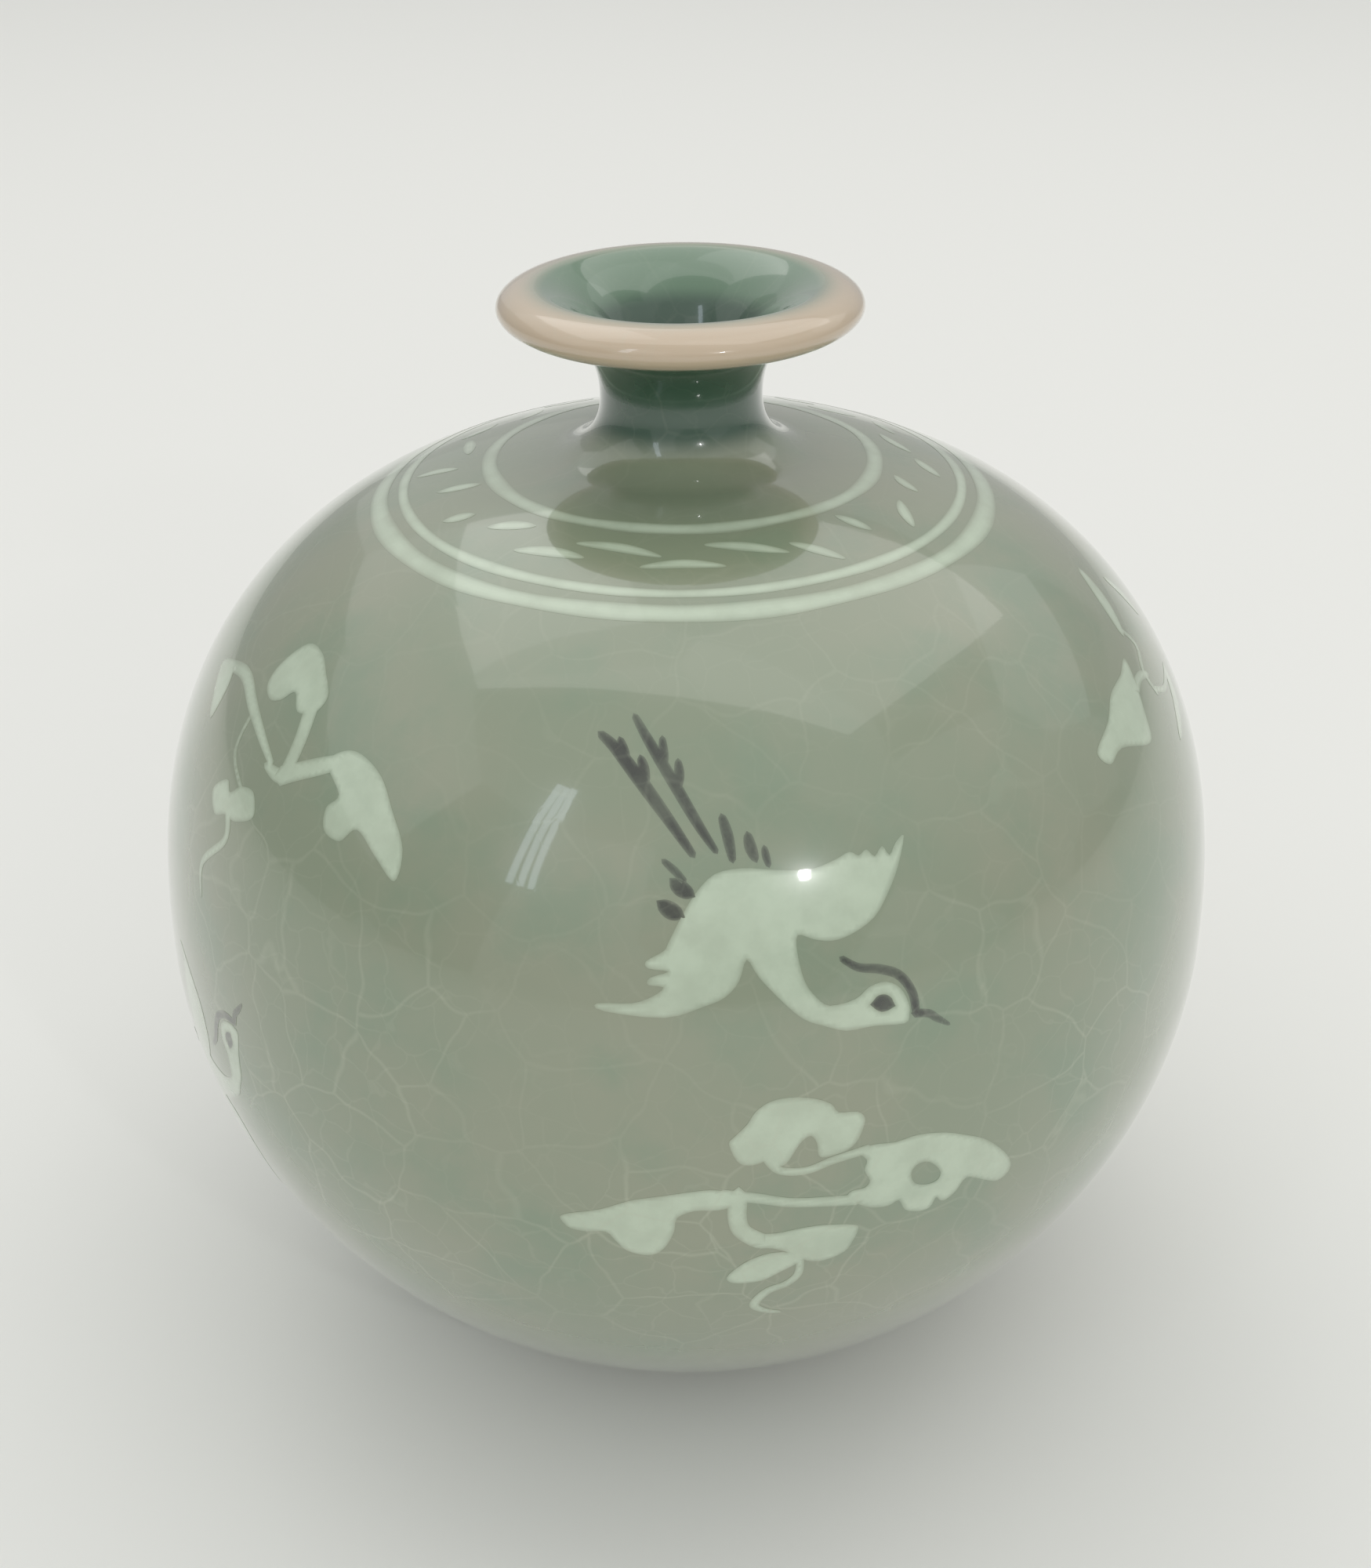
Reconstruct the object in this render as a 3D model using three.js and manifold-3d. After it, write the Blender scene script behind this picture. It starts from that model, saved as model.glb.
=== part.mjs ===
// A small round celadon vase with inlaid cranes, clouds and rings.
// The thrown stoneware body has shallow carved recesses, and each recess holds its own
// piece of white or black slip clay. Millimetres, +Z up, the foot stands on z = 0,
// and azimuth 0 is the front, on -Y, growing towards +X.

import * as THREE from 'three';
import { mergeVertices } from 'three/addons/utils/BufferGeometryUtils.js';
import Module from 'manifold-3d';

const wasm = await Module();
wasm.setup();

// Body
const TOTAL_HEIGHT = 130.6;
const GIRTH_RADIUS = 62.5;
const GIRTH_HEIGHT = 56.2;
const BOWL_DEPTH = 60.1;
const BOWL_FULLNESS = 1.89;
const SHOULDER_RISE = 56.3;
const SHOULDER_FULLNESS = 2.43;
const WALL = 4;
const FLOOR = 5;
const INNER_BOWL_FULLNESS = 2.6;

// Foot ring
const FOOT_RADIUS = 20.5;
const FOOT_WIDTH = 4.2;
const FOOT_HEIGHT = 3;
const FOOT_RECESS = 2.5;
const FOOT_EDGE = 0.8;

// Neck and lip
const NECK_RADIUS = 9;
const NECK_HEIGHT = 118.3;
const NECK_FILLET_RADIUS = 14;
const BORE_RADIUS = 6;
const LIP_RADIUS = 20;
const LIP_THICKNESS = 4.6;
const MOUTH_RADIUS = 15.6;

// Inlays
const INLAY_DEPTH = 0.8;
const CLEARANCE = 0.25;
const INNER_RING = { radius: 21.6, width: 1.7 };
const MIDDLE_RING = { radius: 31.4, width: 1.2 };
const OUTER_RING = { radius: 34.1, width: 2 };
const LEAF_COUNT = 24;
const LEAF_LENGTH = 5.8;
const LEAF_WIDTH = 1.4;
const LEAF_STAGGER = 1.1;
const LEAF_DEPTH = 1;

// Facets
const AROUND = 36;
const HOLLOW_AROUND = 24;
const BOWL_ROWS = 6;
const SHOULDER_ROWS = 7;

const materials = {
  glaze: { color: 0x93a089, roughness: 0.12 },
  white: { color: 0xc2cdbd, roughness: 0.2 },
  black: { color: 0x2c2e29, roughness: 0.25 },
};

// A closed three.js geometry as a solid that can be joined and cut.
function solid(geometry) {
  geometry.deleteAttribute('normal');
  geometry.deleteAttribute('uv');
  const merged = mergeVertices(geometry, 1e-4);
  const corners = merged.index.array;
  const kept = [];
  for (let i = 0; i < corners.length; i += 3) {
    const [a, b, c] = [corners[i], corners[i + 1], corners[i + 2]];
    if (a !== b && b !== c && c !== a) kept.push(a, b, c);
  }
  const vertProperties = new Float32Array(merged.attributes.position.array);
  const triVerts = new Uint32Array(kept);
  return new wasm.Manifold(new wasm.Mesh({ numProp: 3, vertProperties, triVerts }));
}

// The largest body of a cut, without the crumbs that a blade leaves at an edge.
function largest(cut) {
  const bodies = cut.decompose();
  return bodies.reduce((best, body) => (body.volume() > best.volume() ? body : best));
}

function addMesh(group, name, shape, finish) {
  const cut = shape.getMesh();
  const geometry = new THREE.BufferGeometry();
  geometry.setAttribute('position', new THREE.BufferAttribute(cut.vertProperties, 3));
  geometry.setIndex(new THREE.BufferAttribute(cut.triVerts, 1));
  geometry.computeVertexNormals();
  const mesh = new THREE.Mesh(geometry, new THREE.MeshStandardMaterial({ metalness: 0, ...materials[finish] }));
  mesh.name = name;
  group.add(mesh);
}

// A profile of [radius, height] points turned round the vase's axis.
function turned(points, around = AROUND) {
  const profile = points.map(([r, z]) => new THREE.Vector2(Math.max(r, 0), z));
  const geometry = new THREE.LatheGeometry(profile, around);
  geometry.rotateX(Math.PI / 2);
  return solid(geometry);
}

// A quarter of a superellipse between the girth and the pole, as [radius, height] points.
// The inset moves it inwards, square to the surface.
function quarter(radius, rise, fullness, rows, inset = 0) {
  const points = [];
  for (let i = 0; i <= rows; i += 1) {
    const angle = (Math.PI / 2) * (i / rows);
    const x = Math.cos(angle) ** (2 / fullness);
    const y = Math.sin(angle) ** (2 / fullness);
    const normal = new THREE.Vector2(x ** (fullness - 1) / radius, y ** (fullness - 1) / Math.abs(rise)).normalize();
    points.push([radius * x - inset * normal.x, GIRTH_HEIGHT + Math.sign(rise) * (Math.abs(rise) * y - inset * normal.y)]);
  }
  return points;
}

const shoulderHeight = (radius) =>
  GIRTH_HEIGHT + SHOULDER_RISE * (1 - (radius / GIRTH_RADIUS) ** SHOULDER_FULLNESS) ** (1 / SHOULDER_FULLNESS);

function surfaceRadius(height) {
  const above = height - GIRTH_HEIGHT;
  const rise = above < 0 ? BOWL_DEPTH : SHOULDER_RISE;
  const fullness = above < 0 ? BOWL_FULLNESS : SHOULDER_FULLNESS;
  return GIRTH_RADIUS * (1 - (Math.abs(above) / rise) ** fullness) ** (1 / fullness);
}

const vectors = (pairs) => pairs.map(([x, y]) => new THREE.Vector2(x, y));
const pairs = (curve, steps) => curve.getPoints(steps).map((p) => [p.x, p.y]);

// The bowl and shoulder as one belly, which also serves to cut the inlays to depth.
function belly(inset) {
  const bowl = quarter(GIRTH_RADIUS, -BOWL_DEPTH, BOWL_FULLNESS, BOWL_ROWS, inset).reverse();
  const shoulder = quarter(GIRTH_RADIUS, SHOULDER_RISE, SHOULDER_FULLNESS, SHOULDER_ROWS, inset);
  return turned([[0, bowl[0][1]], ...bowl.slice(1), ...shoulder.slice(1, -1), [0, shoulder.at(-1)[1]]]);
}

function outerForm() {
  const footTop = FOOT_HEIGHT;
  const footInner = FOOT_RADIUS - FOOT_WIDTH;
  const foot = [
    [0, FOOT_RECESS],
    [footInner, FOOT_RECESS],
    [footInner, FOOT_EDGE],
    [footInner + FOOT_EDGE, 0],
    [FOOT_RADIUS - FOOT_EDGE, 0],
    [FOOT_RADIUS, FOOT_EDGE],
    [FOOT_RADIUS + FOOT_EDGE, footTop],
  ];
  const bowl = quarter(GIRTH_RADIUS, -BOWL_DEPTH, BOWL_FULLNESS, BOWL_ROWS).reverse();
  const shoulder = quarter(GIRTH_RADIUS, SHOULDER_RISE, SHOULDER_FULLNESS, SHOULDER_ROWS).slice(1);
  const filletStart = [NECK_FILLET_RADIUS, shoulderHeight(NECK_FILLET_RADIUS)];
  const lipUnderside = TOTAL_HEIGHT - LIP_THICKNESS;
  const fillet = new THREE.QuadraticBezierCurve(...vectors([
    filletStart,
    [NECK_RADIUS, filletStart[1] + 1.5],
    [NECK_RADIUS, NECK_HEIGHT],
  ]));
  const flare = new THREE.QuadraticBezierCurve(...vectors([
    [NECK_RADIUS, NECK_HEIGHT],
    [NECK_RADIUS, lipUnderside - 0.8],
    [MOUTH_RADIUS, lipUnderside],
  ]));
  const rim = new THREE.EllipseCurve(
    MOUTH_RADIUS, TOTAL_HEIGHT - LIP_THICKNESS / 2,
    LIP_RADIUS - MOUTH_RADIUS, LIP_THICKNESS / 2,
    -Math.PI / 2, Math.PI / 2, false,
  );
  return turned([
    ...foot,
    [surfaceRadius(footTop), footTop + 0.4],
    ...bowl.filter(([, z]) => z > footTop + 1),
    ...shoulder.filter(([r]) => r > NECK_FILLET_RADIUS + 1),
    ...pairs(fillet, 4),
    ...pairs(flare, 4).slice(1),
    ...pairs(rim, 7).slice(1),
    [0, TOTAL_HEIGHT],
  ]);
}

// The hollow: a bowl, the underside of the shoulder, the bore and the trumpet mouth.
function hollow() {
  const innerRadius = GIRTH_RADIUS - WALL;
  const depth = GIRTH_HEIGHT - FOOT_RECESS - FLOOR;
  const bowl = quarter(innerRadius, -depth, INNER_BOWL_FULLNESS, BOWL_ROWS).reverse();
  const roof = quarter(innerRadius, SHOULDER_RISE - WALL, SHOULDER_FULLNESS, SHOULDER_ROWS).slice(1);
  const mouth = new THREE.QuadraticBezierCurve(...vectors([
    [BORE_RADIUS, NECK_HEIGHT],
    [BORE_RADIUS + 2.5, TOTAL_HEIGHT - 2],
    [MOUTH_RADIUS, TOTAL_HEIGHT + 0.1],
  ]));
  const overTop = TOTAL_HEIGHT + 5;
  return turned([
    [0, bowl[0][1]],
    ...bowl.slice(1),
    ...roof.filter(([r]) => r > BORE_RADIUS + 2),
    [BORE_RADIUS, GIRTH_HEIGHT + SHOULDER_RISE - WALL + 1],
    ...pairs(mouth, 3),
    [MOUTH_RADIUS, overTop],
    [0, overTop],
  ], HOLLOW_AROUND);
}

// A band round the shoulder: four corners set square to the surface.
function band({ radius, width }, top, bottom, extra) {
  const slope = (shoulderHeight(radius + 0.5) - shoulderHeight(radius - 0.5));
  const along = new THREE.Vector2(1, slope).normalize();
  const out = new THREE.Vector2(-along.y, along.x);
  const centre = new THREE.Vector2(radius, shoulderHeight(radius));
  const half = width / 2 + extra;
  const corner = (side, lift) => {
    const point = centre.clone().addScaledVector(along, side * half).addScaledVector(out, lift);
    return [point.x, point.y];
  };
  const section = [corner(-1, bottom), corner(1, bottom), corner(1, top), corner(-1, top)];
  return turned([...section, section[0]]);
}

// An outline moved outwards by a clearance, square to its edges, with mitred corners.
function grown(outline, by) {
  const side = Math.sign(THREE.ShapeUtils.area(outline));
  const normal = (from, to) => {
    const edge = to.clone().sub(from).normalize();
    return new THREE.Vector2(edge.y, -edge.x).multiplyScalar(side);
  };
  return outline.map((point, i) => {
    const first = normal(outline.at(i - 1), point);
    const second = normal(point, outline[(i + 1) % outline.length]);
    const spread = Math.max(1 + first.dot(second), MITRE_LIMIT);
    return point.clone().addScaledVector(first.add(second), by / spread);
  });
}

// A smooth closed outline through a few points.
function smooth(points, steps) {
  const curve = new THREE.CatmullRomCurve3(points.map(([x, y]) => new THREE.Vector3(x, y, 0)), true);
  return curve.getPoints(steps).slice(0, -1).map((p) => new THREE.Vector2(p.x, p.y));
}

// A brush stroke: a smooth line whose width swells from its start to its middle and thins to its end.
function brush(points, startWidth, middleWidth, endWidth, steps = 2) {
  const line = new THREE.SplineCurve(vectors(points));
  const left = [];
  const right = [];
  for (let i = 0; i <= steps; i += 1) {
    const t = i / steps;
    const end = t < 0.5 ? startWidth : endWidth;
    const width = end + (middleWidth - end) * Math.sin(Math.PI * t);
    const tangent = line.getTangent(t);
    const side = new THREE.Vector2(-tangent.y, tangent.x).multiplyScalar(width / 2);
    const centre = line.getPoint(t);
    left.push(centre.clone().add(side));
    right.unshift(centre.clone().sub(side));
  }
  return [...left, ...right];
}

// Where a motif lies on the belly: its own X runs round the vase and its own Y up the surface.
function station({ azimuth, height, turn = 0, size = 1 }) {
  const angle = THREE.MathUtils.degToRad(azimuth);
  const step = 0.05;
  const slope = (surfaceRadius(height + step) - surfaceRadius(height - step)) / (2 * step);
  const round = new THREE.Vector3(Math.cos(angle), Math.sin(angle), 0);
  const out = new THREE.Vector3(Math.sin(angle), -Math.cos(angle), -slope).normalize();
  const up = new THREE.Vector3().crossVectors(out, round);
  const radius = surfaceRadius(height);
  const matrix = new THREE.Matrix4().makeBasis(round, up, out);
  matrix.setPosition(radius * Math.sin(angle), -radius * Math.cos(angle), height);
  matrix.multiply(new THREE.Matrix4().makeRotationZ(THREE.MathUtils.degToRad(turn)));
  return matrix.scale(new THREE.Vector3(size, size, 1));
}

const MITRE_LIMIT = 0.25;
const BLADE_BELOW = 12;
const BLADE_ABOVE = 4;

// The outlines stood up as blades through the surface and joined.
function blades(outlines, place, by = 0, below = BLADE_BELOW) {
  const parts = outlines.map((outline) => {
    const shape = new THREE.Shape(grown(outline, by));
    const geometry = new THREE.ExtrudeGeometry(shape, { depth: below + BLADE_ABOVE, bevelEnabled: false });
    geometry.translate(0, 0, -below);
    geometry.applyMatrix4(place);
    return solid(geometry);
  });
  return parts.reduce((joined, part) => joined.add(part));
}

// Crane in flight, head at the lower right and tail at the upper left.
const craneBody = smooth([
  [-14.7, -6.2], [-8.4, -7.8], [-3.6, -6.6], [-1.2, -4.6], [-0.4, -2.6], [1, -4.9], [4.2, -8.5],
  [8.2, -10.3], [12, -10.6], [15.2, -10.2], [15.4, -8], [13.2, -6.1], [11.2, -6.4], [9.6, -7.6],
  [7.2, -7.9], [5.6, -6.2], [4.6, -3.4], [4.5, -0.9], [7.6, -1.4], [10.6, -0.5], [13.4, 2.4],
  [15.5, 7.6], [12.4, 6.4], [9.4, 6.6], [6.4, 5.4], [2.4, 5.4], [-2.2, 4.6], [-4.6, 3],
  [-6.6, 0.6], [-9, -2.3], [-8.2, -4.2], [-11.2, -5.8],
], 34);
const craneStrokes = {
  tail_left: brush([[-12.6, 19.1], [-9.6, 15.2], [-4.9, 7.6]], 0.7, 1.3, 0.6),
  tail_right: brush([[-9.2, 20.5], [-6.8, 15.4], [-3, 8.4]], 0.6, 1.2, 0.5),
  wingtip_low: brush([[-8.4, 3.1], [-7.6, 2.4], [-6.9, 1.9]], 0.7, 1.3, 0.7),
  wingtip_high: brush([[-7.9, 6.7], [-6.8, 5.6], [-6.1, 4.3]], 0.6, 1.2, 0.7),
  scapular_long: brush([[-1.9, 11.2], [-1.5, 9.2], [-1.1, 7]], 0.5, 0.9, 0.5),
  scapular_short: brush([[0.6, 9.2], [0.9, 8], [1.3, 6.6]], 0.5, 0.9, 0.5),
  crown_and_beak: brush([[8.8, -3.4], [12.6, -4.3], [15.6, -6.2], [16.7, -9.4], [19.7, -10.9]], 0.5, 0.8, 0.5, 5),
  eye: brush([[11.9, -8], [12.8, -8.1], [13.7, -8.4]], 0.8, 1.4, 0.7),
};

// Clouds, each a few lobes and brushed tails that run into each other.
const driftingCloud = [
  smooth([[-5.5, 7.3], [-4.4, 4.9], [-1.4, 3.5], [0.6, 4.4], [2.3, 6.4], [4, 4.6], [6.8, 5], [7.9, 7],
    [5, 9.2], [2.4, 9.4], [-0.4, 11.4], [-3.4, 10.2]], 12),
  brush([[-4.5, 5.6], [-1, 3.3], [4, 3], [9.5, 3.6]], 0.6, 1, 1, 3),
  smooth([[6.3, -1.2], [8.6, 3.6], [12.6, 4.9], [17, 3.8], [21, 1.2], [24.6, -3.2], [21.6, -4.8],
    [18.4, -3.4], [15.4, -5.8], [12, -4.4], [9, -4.4]], 12),
  brush([[8, -1.4], [2, -1.2], [-3, 0.3], [-9.4, 0.4]], 1, 1, 1.2, 3),
  smooth([[-8, 0.9], [-14.3, 0.2], [-21.8, -2.4], [-20.4, -4.4], [-17.2, -4.8], [-15.6, -7], [-12.4, -7.5],
    [-10.9, -5], [-9.6, -2.2]], 12),
  brush([[-4.3, 0.4], [-4.6, -3], [-2.6, -5]], 1, 1.2, 2, 2),
  smooth([[-4, -4], [-1.9, -6.9], [1.9, -9.2], [6, -9.6], [7.7, -7], [3.9, -5.1], [-0.6, -4.6]], 10),
  smooth([[-5.3, -10.7], [-4.2, -12.5], [-1.6, -11.6], [0.8, -9.6], [1.2, -7.8], [-3.8, -8.8]], 12),
  brush([[1.6, -8.8], [1, -12.2], [-1.4, -14.4], [-2.2, -16.8], [0.5, -18.8]], 1.2, 1.1, 0.5, 3),
];
const curledCloud = [
  smooth([[-12.3, 4], [-11.8, 7], [-9.2, 9.7], [-5.6, 9], [-1.7, 6], [-2.6, 3.4], [-6.2, 4.6], [-9, 2.8]], 10),
  brush([[-3, 4.4], [-2, 0.4], [-2.4, -3.6], [-5.8, -3.6]], 2.2, 2, 1, 3),
  brush([[-2.6, -3.4], [1, -1.4], [4.4, 0.6]], 2.2, 2.2, 1.6, 2),
  smooth([[3.4, 0], [6.8, 2.2], [10.4, 1.2], [13.6, -1.6], [16.3, -7], [12.8, -5.2], [10.2, -3.8], [8.2, -6.2],
    [5.8, -5.4], [6, -2.2]], 12),
  brush([[-24.4, 3.4], [-18, 3.6], [-12.6, 1], [-5, -3]], 1.6, 1.9, 1, 3),
  smooth([[-26, 3.4], [-24, 0], [-21.6, -2.6], [-20.6, 1.2], [-22, 4]], 12),
  brush([[-12.2, 0.8], [-12, -4], [-8.4, -7.2]], 0.8, 0.8, 0.8, 2),
  smooth([[-14.4, -8.6], [-12.6, -11], [-9.6, -10.6], [-7.6, -10.4], [-4.8, -8.8], [-6, -6.4], [-8.8, -6.6],
    [-11.6, -7]], 10),
  brush([[-10, -9.6], [-9.4, -13], [-13.6, -16.4], [-13, -20]], 1.2, 1.1, 0.5, 3),
];
const edgeCloud = [
  brush([[9.7, 11], [8.2, 7.4], [6.2, 3.7]], 1.4, 2.6, 1.2, 2),
  brush([[6.4, 4.4], [7.6, 1.4], [5, -1], [5.4, -4]], 0.9, 0.9, 0.8, 3),
  smooth([[2.4, 1.8], [-4.6, 1.4], [-8.7, -0.4], [-12.9, -1.6], [-12.1, -3.8], [-8.4, -4], [-2.6, -6.3],
    [-0.4, -3.4]], 10),
  brush([[0.6, -1], [3.2, -0.8], [5.6, -1.6]], 1.6, 1.2, 0.9, 2),
  brush([[14, -3.9], [11.4, -7.4], [6.7, -10.2]], 1.2, 2.4, 0.8, 2),
  brush([[5.3, -3.4], [9, -4.8], [13.4, -4.2]], 0.8, 0.9, 0.9, 2),
];
const mirrored = (outlines) =>
  outlines.map((outline) => outline.map((p) => new THREE.Vector2(-p.x, p.y)).reverse());

const cranes = [
  { azimuth: 5.9, height: 84.2 },
  { azimuth: -61.2, height: 47.2, turn: 83, size: 0.95 },
  { azimuth: 150, height: 78, turn: 12 },
];
const clouds = [
  { azimuth: 8.6, height: 56.2, outlines: driftingCloud },
  { azimuth: -46.6, height: 92.7, outlines: curledCloud },
  { azimuth: 65.8, height: 92.6, outlines: edgeCloud },
  { azimuth: 96, height: 50, outlines: mirrored(driftingCloud) },
  { azimuth: -132, height: 84, outlines: mirrored(curledCloud) },
];

const vase = new THREE.Group();
const core = belly(INLAY_DEPTH);
const deepCore = belly(INLAY_DEPTH + CLEARANCE);
const skin = outerForm();
const recesses = [];

// An inlay cut to the surface and to its depth, and the recess that holds it.
function setInlay(outlines, place, cutters = []) {
  recesses.push(blades(outlines, place, CLEARANCE).subtract(deepCore));
  let inlay = blades(outlines, place).intersect(skin).subtract(core);
  for (const cutter of cutters) inlay = inlay.subtract(blades([cutter], place, CLEARANCE));
  return largest(inlay);
}

for (const [name, ring] of Object.entries({ inner: INNER_RING, middle: MIDDLE_RING, outer: OUTER_RING })) {
  recesses.push(band(ring, 2, -INLAY_DEPTH - CLEARANCE, CLEARANCE));
  addMesh(vase, `${name}_ring_inlay`, band(ring, 2, -INLAY_DEPTH, 0).intersect(skin), 'white');
}

const leafCentre = (INNER_RING.radius + MIDDLE_RING.radius) / 2;
const leaf = brush([[-LEAF_LENGTH / 2, 0], [0, 0.3], [LEAF_LENGTH / 2, 0]], 0.5, LEAF_WIDTH, 0.4);
for (let i = 0; i < LEAF_COUNT; i += 1) {
  const outerRow = i % 2 === 0;
  const radius = leafCentre + (outerRow ? LEAF_STAGGER : -LEAF_STAGGER);
  const place = station({
    azimuth: (360 * i) / LEAF_COUNT,
    height: shoulderHeight(radius),
    turn: outerRow ? -10 : 20,
  });
  recesses.push(blades([leaf], place, CLEARANCE, LEAF_DEPTH + CLEARANCE));
  const inlay = blades([leaf], place, 0, LEAF_DEPTH).intersect(skin);
  addMesh(vase, `leaf_inlay_${String(i + 1).padStart(2, '0')}`, inlay, 'white');
}

cranes.forEach((crane, i) => {
  const place = station(crane);
  const strokes = Object.entries(craneStrokes);
  const white = setInlay([craneBody], place, strokes.map(([, outline]) => outline));
  addMesh(vase, `crane_${i + 1}_body`, white, 'white');
  for (const [name, outline] of strokes) {
    addMesh(vase, `crane_${i + 1}_${name}`, setInlay([outline], place), 'black');
  }
});

clouds.forEach((cloud, i) => {
  addMesh(vase, `cloud_${i + 1}`, setInlay(cloud.outlines, station(cloud)), 'white');
});

let body = skin.subtract(hollow());
for (const recess of recesses) body = body.subtract(recess);
addMesh(vase, 'vessel', largest(body), 'glaze');

let triangles = 0;
vase.traverse((item) => {
  if (item.isMesh) triangles += item.geometry.index.count / 3;
});
console.log(`${vase.children.length} pieces, ${triangles} triangles`);

export default vase;
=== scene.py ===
# %% [markdown]
# # A celadon vase with inlaid cranes and clouds
#
# The vase is one turned body of grey stoneware. Its pattern is cut into the clay, filled with
# white and black slip, and covered with a green glaze that has a fine crackle. We load the
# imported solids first, because every piece here stands in the place of one of them.

# %% Load the frame
import math
import random

import bpy
from mathutils import Matrix, Vector
from mathutils.geometry import delaunay_2d_cdt


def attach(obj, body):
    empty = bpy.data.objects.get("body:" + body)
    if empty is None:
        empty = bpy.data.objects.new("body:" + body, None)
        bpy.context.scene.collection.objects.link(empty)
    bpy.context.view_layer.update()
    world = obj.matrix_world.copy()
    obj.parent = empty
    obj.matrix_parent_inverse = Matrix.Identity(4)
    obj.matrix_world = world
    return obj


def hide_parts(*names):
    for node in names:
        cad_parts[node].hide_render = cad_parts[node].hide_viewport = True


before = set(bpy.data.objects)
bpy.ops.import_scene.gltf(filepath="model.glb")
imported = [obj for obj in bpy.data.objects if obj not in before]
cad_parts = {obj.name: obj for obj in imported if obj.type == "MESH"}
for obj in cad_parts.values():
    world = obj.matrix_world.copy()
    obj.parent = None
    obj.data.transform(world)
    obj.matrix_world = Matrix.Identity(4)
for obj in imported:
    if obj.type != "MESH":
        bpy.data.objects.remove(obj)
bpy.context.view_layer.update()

MM = 0.001

# %% [markdown]
# ## The sizes
#
# The belly is a superellipse, fuller above the girth than below it. The same few sizes place the
# foot, the neck, the lip and every inlay, so they are written once. The camera's place comes from
# a fit to the photograph: it stands 262 mm from the belly and looks down on it.

# %% Sizes of the turned form, in millimetres
GIRTH_RADIUS, GIRTH_HEIGHT = 62.5, 56.2
BOWL_DEPTH, BOWL_FULLNESS = 60.1, 1.89
SHOULDER_RISE, SHOULDER_FULLNESS = 56.3, 2.43
TOTAL_HEIGHT = 130.6
NECK_RADIUS, NECK_HEIGHT, FILLET_RADIUS = 9.0, 118.3, 14.0
LIP_RADIUS, LIP_THICKNESS, MOUTH_RADIUS, BORE_RADIUS = 20.0, 4.6, 15.6, 6.0
FOOT_RADIUS, FOOT_WIDTH, FOOT_HEIGHT, FOOT_RECESS, FOOT_EDGE = 20.5, 4.2, 3.0, 2.5, 0.8
WALL, FLOOR_THICKNESS, INNER_FULLNESS = 4.0, 5.0, 2.6
SPIN_STEPS = 256


def surface_radius(height):
    above = height - GIRTH_HEIGHT
    rise, fullness = (BOWL_DEPTH, BOWL_FULLNESS) if above < 0 else (SHOULDER_RISE, SHOULDER_FULLNESS)
    return GIRTH_RADIUS * max(0.0, 1 - (abs(above) / rise) ** fullness) ** (1 / fullness)


def shoulder_height(radius):
    share = 1 - (radius / GIRTH_RADIUS) ** SHOULDER_FULLNESS
    return GIRTH_HEIGHT + SHOULDER_RISE * share ** (1 / SHOULDER_FULLNESS)


def surface_slope(height, step=0.02):
    return (surface_radius(height + step) - surface_radius(height - step)) / (2 * step)


# %% [markdown]
# ## The glaze
#
# Celadon is a clear green glass over grey clay. Where it runs thin, on the lip, the warm clay
# shows through; where it pools, round the neck, it turns dark green, and the neck's green is also
# darkened with painted shade and a painted reflection of the dim room. So one colour isn't enough:
# the material mixes its greens by height and by a slow noise on Object coordinates. The crackle
# is a net of thin lines, the edges of a distorted Voronoi pattern, at two sizes. A coat on the
# shader gives the wet gloss. The slips under the glaze share this material, so a builder function
# makes all three, and an attribute called slip fades each inlay into the glaze at its edge.

# %% A small kit for node trees
def linear(red, green, blue):
    """A colour as a screen shows it, 0 to 255, as the linear colour that a shader wants."""
    return tuple(((v / 255 + 0.055) / 1.055) ** 2.4 for v in (red, green, blue)) + (1,)


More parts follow.
